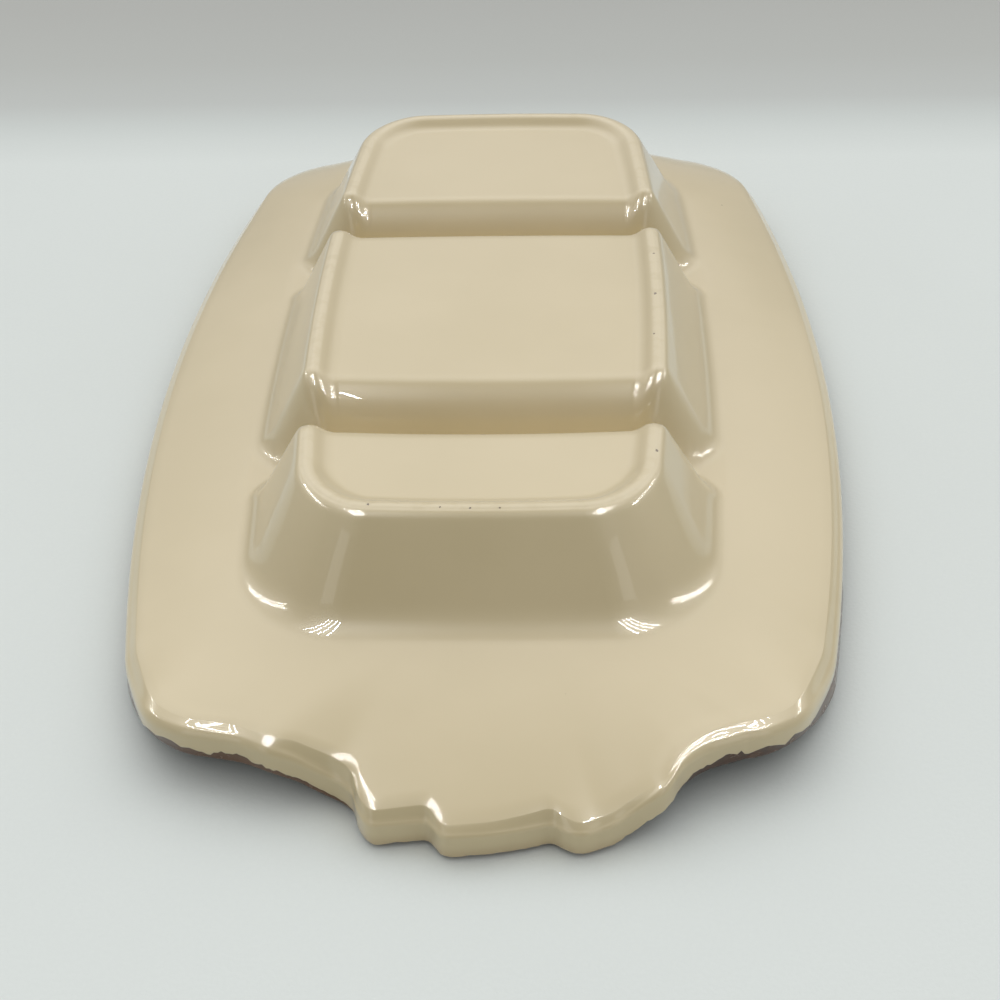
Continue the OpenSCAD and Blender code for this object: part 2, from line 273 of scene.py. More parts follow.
def placed(cells, plan):
    """Plan points of cells given as rows and columns, in a plan outline, and their places along the wells."""
    half_w, half_len, _, side_bow, end_bow, shift = plan
    half, row_y = rows_of(plan)
    x = COLUMN_SHARE[cells[:, 1]] * half[cells[:, 0]]
    y = row_y[cells[:, 0]]
    bowed_x = x * (1 - side_bow / half_w * (y / half_len) ** 2)
    bowed_y = shift + y * (1 - end_bow / half_len * (x / half_w) ** 2)
    return np.stack([bowed_x, bowed_y], axis=1), y + shift - RING_SHIFT


def grown(value, start, length):
    """0 up to start and 1 from a length further on, with a soft change between."""
    c = np.clip((value - start) / length, 0, 1)
    return c * c * (3 - 2 * c)


PLAIN_LINE, _ = placed(BORDER, RIM_PLAN)
HANDLE_SHIFT = np.where(BORDER[:, 0] == 0, -1, 0) + np.where(BORDER[:, 0] == ROWS, 1, 0)
RIM_LINE = PLAIN_LINE + np.stack([np.zeros(TURNS), HANDLE_SHIFT * HANDLE_STEP[BORDER[:, 1]]], axis=1)
FROM_MIDDLE = abs(PLAIN_LINE[:, 0])
RISE = CORNER_RISE * grown(FROM_MIDDLE, *RISE_START) * (1 - grown(FROM_MIDDLE, *RISE_END))
RISE = RISE * grown(-PLAIN_LINE[:, 1], *RISE_ALONG)
END_PLACE = abs(RIM_LINE[:, 1])
RIM_LINE[:, 1] -= RISE_REACH * RISE
ALONG = np.roll(PLAIN_LINE, -1, axis=0) - np.roll(PLAIN_LINE, 1, axis=0)
INWARD = np.stack([-ALONG[:, 1], ALONG[:, 0]], axis=1) / np.linalg.norm(ALONG, axis=1)[:, None]


# Heights

def ramp(b, run, lip, foot, h):
    """h up to b = 0 and nothing from b = run on, with soft turns at both ends."""
    m = h / (run - lip / 2 - foot / 2)
    parts = [h + 0 * b, h - m * b * b / (2 * lip), h - m * (b - lip / 2), m * (run - b) ** 2 / (2 * foot)]
    return np.select([b <= 0, b < lip, b < run - foot, b < run], parts, 0)


def cut(y, half, lip, foot):
    """How deep the grooves cut at y, from 0 on a well to 1 in the middle of a groove."""
    return np.maximum(*(
        1 - ramp(half * wide - abs(y - middle), half * wide, lip, foot, 1) for middle, wide in GROOVES))


def notch(y):
    """How far the grooves draw the wells' outline in at y, which rounds their corners."""
    near = np.maximum(*(1 - abs(y - middle) / (GROOVE_HALF * wide) for middle, wide in GROOVES))
    return GROOVE_NOTCH * np.clip(near, 0, 1) ** 2


def under_z(out, y):
    """Height of the side with the foot ring, that far outside the ring and at y along the wells."""
    out = out + notch(y)
    band = np.clip((out + RING_BAND / 2) / (RING_BAND / 2), -1, 1)
    slope = 1 - ramp(-out - RING_BAND, RING_SLOPE, RING_LIP, RING_FOOT, 1)
    bottom = WELL_H - RING_CROWN * band ** 2 - (RING_H - RING_CROWN) * slope
    wall = ramp(out, WALL_RUN, WALL_LIP, WALL_FOOT, 1)
    sunk = (bottom - GROOVE_FLOOR_H) * cut(y, GROOVE_HALF, GROOVE_LIP, GROOVE_FOOT)
    return FLANGE_Z + wall * (bottom - sunk)


def serve_z(out, y):
    """Height of the serving side, inside the wells and over the dividers."""
    inside = WELL_H - RING_H - BOTTOM_T + FLANGE_T
    wall = ramp(out + notch(y) + WALL_INSET, WALL_RUN, BOTTOM_TURN, MOUTH_TURN, 1)
    sunk = (inside - GROOVE_FLOOR_H) * cut(y, DIVIDER_HALF, DIVIDER_TURN, CREST_TURN)
    return FLANGE_Z - FLANGE_T + wall * (inside - sunk)


def beyond(p, plan):
    """How far plan points lie outside a plan outline."""
    half_w, half_len, corner, side_bow, end_bow, shift = plan
    past = abs(p[:, 1] - shift)
    x = abs(p[:, 0]) + side_bow * np.minimum(past / half_len, 1) ** 2
    y = past + end_bow * np.minimum(abs(p[:, 0]) / half_w, 1) ** 2
    return np.hypot(np.maximum(x - half_w + corner, 0), np.maximum(y - half_len + corner, 0)) - corner


def out_share(p):
    """Where plan points lie between the foot of the walls (0) and the plain rim (1); up to 3 on a handle."""
    low = np.zeros(len(p))
    high = np.full(len(p), 3.0)
    for _ in range(OUT_SHARE_STEPS):
        middle = (low + high) / 2
        plan = [a * (1 - middle) + b * middle for a, b in zip(ring_plan(WALL_RUN), RIM_PLAN)]
        outside = beyond(p, plan) > 0
        low = np.where(outside, middle, low)
        high = np.where(outside, high, middle)
    return (low + high) / 2


def lift_at(y):
    """How high the plain rim is lifted over the sheet at y."""
    return NEAR_LIFT + (FAR_LIFT - NEAR_LIFT) * (y / RIM_HALF_LEN + 1) / 2


def flange_at(p):
    """The flange falls ever more steeply from the walls to the rim and to the tips of the handles."""
    x, y = p[:, 0], p[:, 1]
    at_end = grown(abs(y) / RIM_HALF_LEN, *HANDLE_ALONG)
    at_middle = at_end * (1 - grown(abs(x) / RIM_HALF_W, *HANDLE_ACROSS))
    end_flange = RIM_HALF_LEN - ring_plan(WALL_RUN)[1]
    share = out_share(p) / (1 + at_middle * HANDLE_OUT / end_flange)
    turn_drop = TURN_DROP * (SIDE_TURN_SHARE + (1 - SIDE_TURN_SHARE) * grown(abs(y), *END_TURN_START))
    end_z = EDGE_T + HANDLE_TURN_DROP * at_middle + (turn_drop + lift_at(y)) * (1 - at_middle)
    return FLANGE_Z - (FLANGE_Z - end_z) * share * (1 - FLANGE_BEND * (1 - share))


# Loops of points round the tray

def loop(plan_points, z):
    return np.column_stack([plan_points, z + np.zeros(len(plan_points))])


ON_HANDLE = grown(END_PLACE, RIM_HALF_LEN - TURN_W, HANDLE_OUT)
PLAIN_LIFT = lift_at(RIM_LINE[:, 1]) * (1 - ON_HANDLE)
LIP_DROP = LIP_DROP_SHARE * PLAIN_LIFT
LIFT = PLAIN_LIFT + RISE
TURN_WIDTH = TURN_W + (HANDLE_TURN_W - TURN_W) * ON_HANDLE
EDGE_ROUND = EDGE_R + (HANDLE_EDGE_R - EDGE_R) * ON_HANDLE


def edge_loop(inset, z):
    """A loop that far in from the edge, at a height over the rim's own lift."""
    return loop(RIM_LINE + INWARD * np.reshape(inset, (-1, 1)), LIFT + z)


def edge_arc(angle):
    """A loop on the rounded upper edge, at an angle in radians over its side."""
    return edge_loop(EDGE_ROUND * (1 - math.cos(angle)), EDGE_T - EDGE_ROUND * (1 - math.sin(angle)))


def lip_arc(angle, inset):
    """A loop on the rounded lower lip, at an angle in radians below its side."""
    return edge_loop(inset + LIP_R - LIP_R * math.cos(angle), LIP_R - LIP_R * math.sin(angle) - LIP_DROP)


def wall_loop(out, height):
    """A loop that far outside the foot ring, at the height of one side of the tray."""
    plan = ring_plan(out, WALL_INSET if height is serve_z else 0)
    plan_points, y = placed(BORDER, plan)
    return loop(plan_points, height(out, y))


def on_flange(a, b, share, depth, rim_share):
    """A loop between two others on the flange, or below it, which waves up the more the nearer the rim is."""
    between = a[:, :2] * (1 - share) + b[:, :2] * share
    return loop(between, flange_at(between) - depth + RISE * rim_share ** 2)


def blended(a, b, share):
    return a * (1 - share) + b * share


def ragged_line(seed, low, high, least, most):
    """Lobes of glaze along the rim, hanging between upper cusps: how far each point hangs down."""
    rng = np.random.default_rng(seed)
    step = np.linalg.norm(np.roll(RIM_LINE, -1, axis=0) - RIM_LINE, axis=1)
    along = np.cumsum(step)
    hang = np.zeros(TURNS)
    start = 0.0
    while start < along[-1]:
        width = rng.uniform(least, most)
        depth = rng.uniform(low, high)
        inside = (along >= start) & (along < start + width)
        hang[inside] = depth * np.sin(math.pi * (along[inside] - start) / width) ** LOBE_POWER
        start += width
    return hang


def along_side(side, start, end, fade):
    """1 along one side of the rim between two places, fading out beyond them."""
    y = RIM_LINE[:, 1]
    here = np.sign(RIM_LINE[:, 0]) == side
    return here * grown(y, start - fade, fade) * (1 - grown(y, end, fade))


AT_HANDLE = grown(END_PLACE, RIM_HALF_LEN - HANDLE_CREAM_FADE[0], HANDLE_CREAM_FADE[1])
RAGGED = sum(ragged_line(*lobes) for lobes in GLAZE_LOBES) * (1 + RISE_RAGGED * RISE / CORNER_RISE)
BARE_LIP = sum(bare * along_side(*place) for bare, *place in BARE_PLACES)
HANDLE_LINE = HANDLE_CREAM_END - HANDLE_RAGGED_SHARE * RAGGED
CREAM_END = blended(COAT_LAP - CREAM_SHORT - RAGGED, HANDLE_LINE, AT_HANDLE)
CREAM_END += BARE_DRAWN * BARE_LIP + RISE_DRAWN * RISE * (1 - AT_HANDLE)
LIP_BULGE = (LIP_OUT + BARE_BULGE * BARE_LIP - RISE_BULGE_LOSS * RISE) * (1 - ON_HANDLE)


def shell_loops():
    """The shell's upper side, from the inner edge of the foot ring's slope to behind the brown coat."""
    ring = [-RING_BAND - RING_SLOPE * s for s in RING_STEPS]
    band = [-RING_BAND * s for s in BAND_STEPS]
    lip = [WALL_LIP * s for s in LIP_STEPS]
    wall = list(np.linspace(WALL_LIP, WALL_RUN - WALL_FOOT, WALL_LOOPS + 1)[1:])
    foot = [WALL_RUN - WALL_FOOT * s for s in FOOT_STEPS]
    loops = [wall_loop(out, under_z) for out in ring + band + lip + wall + foot]
    root = loops[-1]
    turn_start = edge_loop(TURN_WIDTH, EDGE_T + HANDLE_TURN_DROP)
    turn_start[:, 2] = np.maximum(turn_start[:, 2], flange_at(turn_start[:, :2]) + RISE)
    loops += [on_flange(root, turn_start, share, 0, share) for share in FLANGE_STEPS]
    loops.append(turn_start)
    arc_start = edge_arc(math.radians(TURN_END_ANGLE))
    drop = flange_at(arc_start[:, :2]) + RISE - arc_start[:, 2]
    rise = turn_start[:, 2] - flange_at(turn_start[:, :2]) - RISE
    for s in TURN_STEPS:
        between = blended(turn_start, arc_start, s)
        between[:, 2] = flange_at(between[:, :2]) + RISE + rise * (1 - s) - drop * s ** TURN_POWER
        loops.append(between)
    loops += [edge_arc(math.radians(a)) for a in EDGE_ANGLES]
    loops += [edge_loop(inset, CREAM_END + up) for inset, up in CREAM_EDGE]
    return loops


SERVING_TURN = edge_loop(SERVING_TURN_W, 0)
SERVING_TURN[:, 2] = flange_at(SERVING_TURN[:, :2]) - FLANGE_T + RISE
MOUTH = wall_loop(WALL_RUN - WALL_INSET, serve_z)


def hidden_loops():
    """The shell behind the brown coat, from the edge to the mouths of the wells."""
    loops = [edge_loop(HIDDEN_INSET, CREAM_END + HIDDEN_GAP)]
    loops.append(edge_loop(LIP_FOOT_W, LIP_FOOT_RISE + COAT_T + HIDDEN_GAP))
    loops += [on_flange(SERVING_TURN, MOUTH, s, FLANGE_T - COAT_T, 1 - s) for s in HIDDEN_SHARES]
    loops.append(on_flange(SERVING_TURN, MOUTH, HIDDEN_END, FLANGE_T, 1 - HIDDEN_END))
    loops.append(MOUTH)
    return loops


def coat_loops():
    """The brown coat's face, from behind the cream glaze on the edge to the mouths of the wells."""
    loops = [edge_loop(CREAM_PROUD, CREAM_END + COAT_TUCK)]
    shown = np.maximum(CREAM_END - COAT_SHOWN_DROP, LIP_R - LIP_DROP + COAT_SHOWN_LEAST)
    loops.append(edge_loop(CREAM_PROUD - LIP_BULGE * COAT_SHOWN_BULGE, shown))
    loops += [lip_arc(math.radians(a), CREAM_PROUD - LIP_BULGE) for a in LIP_ANGLES]
    foot = edge_loop(LIP_FOOT_W, LIP_FOOT_RISE - LIP_DROP)
    loops.append(foot)
    loops += [blended(foot, SERVING_TURN, s) for s in LIP_FOOT_STEPS]
    loops += [on_flange(SERVING_TURN, MOUTH, s, FLANGE_T, 1 - s) for s in SERVING_STEPS]
    return loops


def well_loops():
    """The inside of the wells and the dividers, from the wells' mouths to their bottoms."""
    mouth_out = WALL_RUN - WALL_INSET
    wall_start = mouth_out - MOUTH_TURN
    wall_end = BOTTOM_TURN - WALL_INSET
    outs = [mouth_out - MOUTH_TURN * s for s in MOUTH_STEPS]
    outs += [wall_start - (wall_start - wall_end) * s for s in WELL_WALL_STEPS]
    outs += [BOTTOM_TURN * s - WALL_INSET for s in BOTTOM_STEPS]
    return [wall_loop(out, serve_z) for out in outs]


def grid_inside(plan, out, height):
    """The points inside a plan outline, row by row, at the height of one side of the tray."""
    cells = np.array([(r, c) for r in range(1, ROWS) for c in range(1, COLUMNS)])
    plan_points, y = placed(cells, plan)
    return loop(plan_points, height(out, y))


# Meshes

def band_faces(count):
    """The faces between that many loops that follow each other."""
    k = np.repeat(np.arange(count - 1), TURNS) * TURNS
    i = np.tile(np.arange(TURNS), count - 1)
    j = (i + 1) % TURNS
    return np.column_stack([k + i, k + j, k + TURNS + j, k + TURNS + i])


def grid_faces(loop_start, grid_start, flip):
    """The faces that fill a loop with a grid of points, both given by the number of their first point."""
    index = np.zeros((ROWS + 1, COLUMNS + 1), dtype=int)
    index[BORDER[:, 0], BORDER[:, 1]] = loop_start + np.arange(TURNS)
    inner = np.arange((ROWS - 1) * (COLUMNS - 1)).reshape(ROWS - 1, COLUMNS - 1)
    index[1:ROWS, 1:COLUMNS] = grid_start + inner
    corners = [index[:-1, :-1], index[:-1, 1:], index[1:, 1:], index[1:, :-1]]
    faces = np.stack(corners, axis=-1).reshape(-1, 4)
    return faces[:, ::-1] if flip else faces


def piece(name, points, faces, finish):
    """A smooth mesh object from points in millimetres."""
    mesh = bpy.data.meshes.new(name)
    mesh.from_pydata((np.asarray(points) * MM).tolist(), [], np.asarray(faces).tolist())
    mesh.polygons.foreach_set("use_smooth", [True] * len(mesh.polygons))
    mesh.materials.append(finish)
    mesh.update()
    made = bpy.data.objects.new(name, mesh)
    bpy.context.collection.objects.link(made)
    return made


# Materials

def srgb(r, g, b):
    """A colour written in the 0 to 255 values of a picture."""
    def linear(v):
        v /= 255
        return v / 12.92 if v <= 0.04045 else ((v + 0.055) / 1.055) ** 2.4
    return (linear(r), linear(g), linear(b), 1)


CREAM = srgb(204, 187, 146)
CREAM_THIN = srgb(198, 181, 139)
CREAM_WORN = srgb(207, 191, 152)
CREAM_DARKER_LOW = srgb(176, 150, 112)
SPECK = srgb(92, 70, 52)
BROWN = srgb(72, 50, 37)
BROWN_THIN = srgb(104, 74, 50)
BROWN_DARK = srgb(38, 29, 24)

# How each glaze lies, with heights in millimetres, its iron specks and how strongly they show, and its least
# roughness and how much more it has in places
CREAM_SKIN = {"Waves": 0.16, "Peel": 0.003}
CREAM_PITS = {"Size": 0.04, "Rarity": 0.8}
CREAM_SPECK_SHARE = 0.55
CREAM_ROUGH = (0.015, 0.012)
BROWN_SKIN = {"Waves": 0.2, "Peel": 0.01}
BROWN_PITS = {"Size": 0.08, "Rarity": 0.5}
BROWN_SPECK_SHARE = 0.6
BROWN_ROUGH = (0.13, 0.15)
BROWN_MOTTLE_SHARE = 0.45
# Specks: how many cells a metre they are sown in, and how sharp their edges are
PIT_CELLS = 95
PIT_SHARPNESS = 90.0

# Wear on top of the foot ring: how far below its top it starts and is full, and its least share
WEAR_START = 0.55
WEAR_FULL = 0.1
WEAR_LEAST = 0.35
# Darker, browner colour low on the rim, near the sheet: the heights where it starts and is full, and its
# share
LOW_DARKER_START = 4.6
LOW_DARKER_FULL = 1.2
LOW_DARKER_SHARE = 0.4

# Iron specks and chips on the foot ring: x, y, how long and how wide
RING_MARKS = (
    (-21.2, -94.6, 1.0, 0.9), (-25.0, -97.0, 0.8, 0.8), (28.1, -94.1, 2.4, 0.6), (43.0, -76.3, 0.8, 1.0),
    (45.3, -4.6, 0.7, 1.2), (44.2, -24.6, 0.6, 0.8), (45.8, 16.9, 0.7, 0.7), (-8.1, -98.0, 0.6, 0.5),
    (-1.1, -98.2, 0.5, 0.5), (5.8, -98.2, 0.6, 0.4))
MARK_WOBBLE = 1.2
MARK_SHARE = 0.85
MARK_DEPTH = 0.25


def material(name):
    made = bpy.data.materials.new(name)
    made.use_nodes = True
    return made, made.node_tree, made.node_tree.nodes["Principled BSDF"]


def new_group(name, inputs, outputs):
    """An empty shader node group: inputs by name with their values, and the names of its outputs."""
    made = bpy.data.node_groups.new(name, "ShaderNodeTree")
    for label, value in inputs.items():
        made.interface.new_socket(label, in_out="INPUT", socket_type="NodeSocketFloat").default_value = value
    for label in outputs:
        made.interface.new_socket(label, in_out="OUTPUT", socket_type="NodeSocketFloat")
    return made, made.nodes.new("NodeGroupInput"), made.nodes.new("NodeGroupOutput")


def placed_group(tree, group, values=None):
    node = tree.nodes.new("ShaderNodeGroup")
    node.node_tree = group
    for name, value in (values or {}).items():
        node.inputs[name].default_value = value
    return node


def math_node(tree, operation, first, second=0.0):
    """A math node; what goes in is a socket or a number."""
    node = tree.nodes.new("ShaderNodeMath")
    node.operation = operation
    for socket, value in zip(node.inputs, (first, second)):
        if isinstance(value, (int, float)):
            socket.default_value = value
        else:
            tree.links.new(value, socket)
    return node.outputs[0]


def added(tree, first, second):
    return math_node(tree, "ADD", first, second)


def scaled(tree, value, factor):
    return math_node(tree, "MULTIPLY", value, factor)


def faded(tree, value, low, high):
    """0 below low and 1 above high, or the other way round where low is the higher one."""
    node = tree.nodes.new("ShaderNodeMapRange")
    node.interpolation_type = "SMOOTHSTEP"
    tree.links.new(value, node.inputs["Value"])
    node.inputs["From Min"].default_value = min(low, high)
    node.inputs["From Max"].default_value = max(low, high)
    node.inputs["To Min"].default_value = float(low > high)
    node.inputs["To Max"].default_value = float(low < high)
    return node.outputs["Result"]


def place_on_piece(tree):
    """The place on the piece in the object's metres."""
    return tree.nodes.new("ShaderNodeTexCoord").outputs["Object"]


def place_along(tree, axis):
    """One coordinate of the place on the piece, in metres."""
    parts = tree.nodes.new("ShaderNodeSeparateXYZ")
    tree.links.new(place_on_piece(tree), parts.inputs["Vector"])
    return parts.outputs[axis]


def height_of(tree):
    """Height above the sheet of the place on the piece, in millimetres."""
    return math_node(tree, "DIVIDE", place_along(tree, "Z"), MM)


def noise(tree, scale, detail):
    """Noise in the object's metres, 0 to 1."""
    node = tree.nodes.new("ShaderNodeTexNoise")
    node.inputs["Scale"].default_value = scale
    node.inputs["Detail"].default_value = detail
    tree.links.new(place_on_piece(tree), node.inputs["Vector"])
    return node.outputs["Fac"]


def mixed_colour(tree, share, first, second):
    """Between two colours by share; each is a socket or a colour."""
    node = tree.nodes.new("ShaderNodeMix")
    node.data_type = "RGBA"
    tree.links.new(share, node.inputs["Factor"])
    for name, value in (("A", first), ("B", second)):
        socket = [x for x in node.inputs if x.name == name and x.type == "RGBA"][0]
        if isinstance(value, tuple):
            socket.default_value = value
        else:
            tree.links.new(value, socket)
    return [x for x in node.outputs if x.type == "RGBA"][0]


def bump(tree, shader, height, distance):
    """Unevenness from a height, which is given in units of distance."""
    node = tree.nodes.new("ShaderNodeBump")
    node.inputs["Strength"].default_value = 1.0
    node.inputs["Distance"].default_value = distance
    tree.links.new(height, node.inputs["Height"])
    tree.links.new(node.outputs["Normal"], shader.inputs["Normal"])


def glaze_skin():
    """How a glaze lies: its height in millimetres, with slow waves and a fine peel, and where it is thick."""
    group, given, out = new_group("glaze_skin", {"Waves": 0.1, "Peel": 0.01}, ("Height", "Thickness"))
    waves = scaled(group, noise(group, scale=42, detail=1.5), given.outputs["Waves"])
    peel = scaled(group, noise(group, scale=520, detail=2), given.outputs["Peel"])
    group.links.new(added(group, waves, peel), out.inputs["Height"])
    thick = faded(group, noise(group, scale=17, detail=4), 0.3, 0.7)
    group.links.new(thick, out.inputs["Thickness"])
    return group


def glaze_pits():
    """Sparse dark pinholes and iron specks: 1 in the middle of each."""
    group, given, out = new_group("glaze_pits", {"Size": 0.035, "Rarity": 0.75}, ("Mask",))
    cells = group.nodes.new("ShaderNodeTexVoronoi")
    cells.inputs["Scale"].default_value = PIT_CELLS
    group.links.new(place_on_piece(group), cells.inputs["Vector"])
    parts = group.nodes.new("ShaderNodeSeparateColor")
    group.links.new(cells.outputs["Color"], parts.inputs["Color"])
    chosen = math_node(group, "GREATER_THAN", parts.outputs["Red"], given.outputs["Rarity"])
    size = scaled(group, parts.outputs["Green"], given.outputs["Size"])
    inside = math_node(group, "SUBTRACT", size, cells.outputs["Distance"])
    soft = math_node(group, "MAXIMUM", scaled(group, inside, PIT_SHARPNESS), 0.0)
    soft = math_node(group, "MINIMUM", soft, 1.0)
    group.links.new(scaled(group, soft, chosen), out.inputs["Mask"])
    return group


def ring_marks():
    """Chips and iron specks on the foot ring, at their own places: 1 inside each."""
    group, given, out = new_group("ring_marks", {"Radius": 0.5}, ("Mask",))
    place = place_on_piece(group)
    ragged = noise(group, scale=1500, detail=2)
    wobble = scaled(group, math_node(group, "SUBTRACT", ragged, 0.5), MARK_WOBBLE * MM)
    mask = 0.0
    for x, y, long, wide in RING_MARKS:
        mapping = group.nodes.new("ShaderNodeMapping")
        mapping.vector_type = "TEXTURE"
        mapping.inputs["Location"].default_value = (x * MM, y * MM, FOOT_Z * MM)
        mapping.inputs["Scale"].default_value = (long, wide, 1)
        group.links.new(place, mapping.inputs["Vector"])
        length = group.nodes.new("ShaderNodeVectorMath")
        length.operation = "LENGTH"
        group.links.new(mapping.outputs["Vector"], length.inputs[0])
        reach = math_node(group, "DIVIDE", added(group, length.outputs["Value"], wobble), MM)
        inside = math_node(group, "SUBTRACT", given.outputs["Radius"], reach)
        mask = math_node(group, "MAXIMUM", faded(group, inside, 0.0, 0.2), mask)
    group.links.new(mask, out.inputs["Mask"])
    return group


def cream_glaze(skin, pits, marks):
    made, tree, shader = material("cream_glaze")
    glaze = placed_group(tree, skin, CREAM_SKIN)
    speck = placed_group(tree, pits, CREAM_PITS)
    chips = placed_group(tree, marks)
    colour = mixed_colour(tree, glaze.outputs["Thickness"], CREAM_THIN, CREAM)
    edge = faded(tree, height_of(tree), FOOT_Z - WEAR_START, FOOT_Z - WEAR_FULL)
    patchy = added(tree, faded(tree, noise(tree, scale=230, detail=3), 0.35, 0.6), WEAR_LEAST)
    worn = math_node(tree, "MINIMUM", scaled(tree, edge, patchy), 1.0)
    colour = mixed_colour(tree, worn, colour, CREAM_WORN)
    # darker and browner towards the bottom of the rim, by height above the sheet
    low = faded(tree, height_of(tree), LOW_DARKER_START, LOW_DARKER_FULL)
    colour = mixed_colour(tree, scaled(tree, low, LOW_DARKER_SHARE), colour, CREAM_DARKER_LOW)
    colour = mixed_colour(tree, scaled(tree, speck.outputs["Mask"], CREAM_SPECK_SHARE), colour, SPECK)
    colour = mixed_colour(tree, scaled(tree, chips.outputs["Mask"], MARK_SHARE), colour, SPECK)
    tree.links.new(colour, shader.inputs["Base Color"])
    least, more = CREAM_ROUGH
    rough = added(tree, scaled(tree, noise(tree, scale=60, detail=3), more), least)
    tree.links.new(rough, shader.inputs["Roughness"])
    shader.inputs["IOR"].default_value = 1.55
    shader.inputs["Coat Weight"].default_value = 0.9
    shader.inputs["Coat Roughness"].default_value = 0.34
    sunk = scaled(tree, chips.outputs["Mask"], -MARK_DEPTH)
    bump(tree, shader, added(tree, glaze.outputs["Height"], sunk), MM)
    return made


def brown_glaze(skin, pits):
    made, tree, shader = material("brown_glaze")
    glaze = placed_group(tree, skin, BROWN_SKIN)
    speck = placed_group(tree, pits, BROWN_PITS)
    colour = mixed_colour(tree, glaze.outputs["Thickness"], BROWN_THIN, BROWN)
    mottled = faded(tree, noise(tree, scale=340, detail=4), 0.46, 0.66)
    colour = mixed_colour(tree, scaled(tree, mottled, BROWN_MOTTLE_SHARE), colour, BROWN_THIN)
    colour = mixed_colour(tree, scaled(tree, speck.outputs["Mask"], BROWN_SPECK_SHARE), colour, BROWN_DARK)
    tree.links.new(colour, shader.inputs["Base Color"])
    least, more = BROWN_ROUGH
    rough = added(tree, scaled(tree, mottled, more), least)
    tree.links.new(rough, shader.inputs["Roughness"])
    shader.inputs["Coat Weight"].default_value = 0.35
    shader.inputs["Coat Roughness"].default_value = 0.3
    shader.inputs["Specular IOR Level"].default_value = 0.3
    bump(tree, shader, glaze.outputs["Height"], MM)
    return made


# The tray

def make_shell(finish):
    """The casting: its upper side, the part behind the brown coat, and the hollow wells."""
    loops = shell_loops() + hidden_loops() + well_loops()
    slope_end = -RING_BAND - RING_SLOPE
    under = grid_inside(ring_plan(slope_end), slope_end, under_z)
    inside = grid_inside(ring_plan(-WALL_INSET, WALL_INSET), -WALL_INSET, serve_z)
    last_loop = (len(loops) - 1) * TURNS
    first_grid = len(loops) * TURNS
    points = np.concatenate(loops + [under, inside])
    faces = np.concatenate([
        band_faces(len(loops))[:, ::-1],
        grid_faces(0, first_grid, False),
        grid_faces(last_loop, first_grid + len(under), True)])
    return piece("tray_shell", points, faces, finish)


def make_coat(finish):
    """The brown coat: its face, and a back close behind it that ends above the cream glaze's lower line."""
    face = coat_loops()
    back = [points + (0, 0, COAT_T * COAT_BACK_SHARE) for points in face[COAT_BACK_START:-1]]
    closed = face + back[::-1] + [edge_loop(COAT_BACK_INSET, CREAM_END + COAT_TUCK), face[0]]
    return piece("rim_coat", np.concatenate(closed), band_faces(len(closed))[:, ::-1], finish)


SKIN = glaze_skin()
PITS = glaze_pits()

shell = make_shell(cream_glaze(SKIN, PITS, ring_marks()))
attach(shell, "root")
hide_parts("tray_body")

coat = make_coat(brown_glaze(SKIN, PITS))
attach(coat, "root")
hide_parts("rim_glaze")


# Floor and backdrop

SHEET_HALF = 2500
# The sheet's slight unevenness: its darker colour, how much of it the paper and its clouds show, and the
# paper's relief in millimetres
SHEET_SHADE = srgb(160, 162, 158)
PAPER_SHARE = 0.02
CLOUD_SHARE = 0.03
PAPER_DEPTH = 0.02
# Painted shade on the sheet: its colours by how far back they lie, darker behind the tray where a real sheet
# would curve up into shade
PAINTED_SHADE_BANDS = (
    (100, (217, 222, 218)), (161, (216, 221, 217)), (180, (208, 213, 209)), (193, (200, 205, 201)),
    (211, (188, 191, 187)), (248, (180, 182, 177)), (305, (174, 175, 170)), (700, (165, 166, 161)))


def pale_sheet():
    """A flat sheet with painted shade: it gets darker behind the tray, where a real sheet starts to curve up
    and lies in shade.
    """
    made, tree, shader = material("pale_sheet")
    start = PAINTED_SHADE_BANDS[0][0]
    end = PAINTED_SHADE_BANDS[-1][0]
    span = tree.nodes.new("ShaderNodeMapRange")
    span.inputs["From Min"].default_value = start * MM
    span.inputs["From Max"].default_value = end * MM
    tree.links.new(place_along(tree, "Y"), span.inputs["Value"])
    # painted shade: the sheet's colour darkens with distance behind the tray
    painted_shade_ramp = tree.nodes.new("ShaderNodeValToRGB")
    tree.links.new(span.outputs["Result"], painted_shade_ramp.inputs["Fac"])
    stops = painted_shade_ramp.color_ramp.elements
    while len(stops) < len(PAINTED_SHADE_BANDS):
        stops.new(0.5)
    for stop, (y, colour) in zip(stops, PAINTED_SHADE_BANDS):
        stop.position = (y - start) / (end - start)
        stop.color = srgb(*colour)
    paper = faded(tree, noise(tree, scale=900, detail=3), 0.3, 0.7)
    cloudy = faded(tree, noise(tree, scale=9, detail=3), 0.3, 0.7)
    shade = added(tree, scaled(tree, paper, PAPER_SHARE), scaled(tree, cloudy, CLOUD_SHARE))
    colour = mixed_colour(tree, shade, painted_shade_ramp.outputs["Color"], SHEET_SHADE)
    tree.links.new(colour, shader.inputs["Base Color"])
    shader.inputs["Roughness"].default_value = 0.6
    shader.inputs["Specular IOR Level"].default_value = 0.25
    bump(tree, shader, paper, PAPER_DEPTH * MM)
    half = SHEET_HALF
    corners = [(-half, -half, 0), (half, -half, 0), (half, half, 0), (-half, half, 0)]
    piece("pale_sheet", corners, [(0, 1, 2, 3)], made)


pale_sheet()


# Light: a pale room whose walls and back are bright and whose front is dark, and bright strips for glints

ROOM_LEVEL = 0.92
ROOM_DARKEST = 0.1
ROOM_COLOUR = (0.985, 0.99, 1.0, 1)

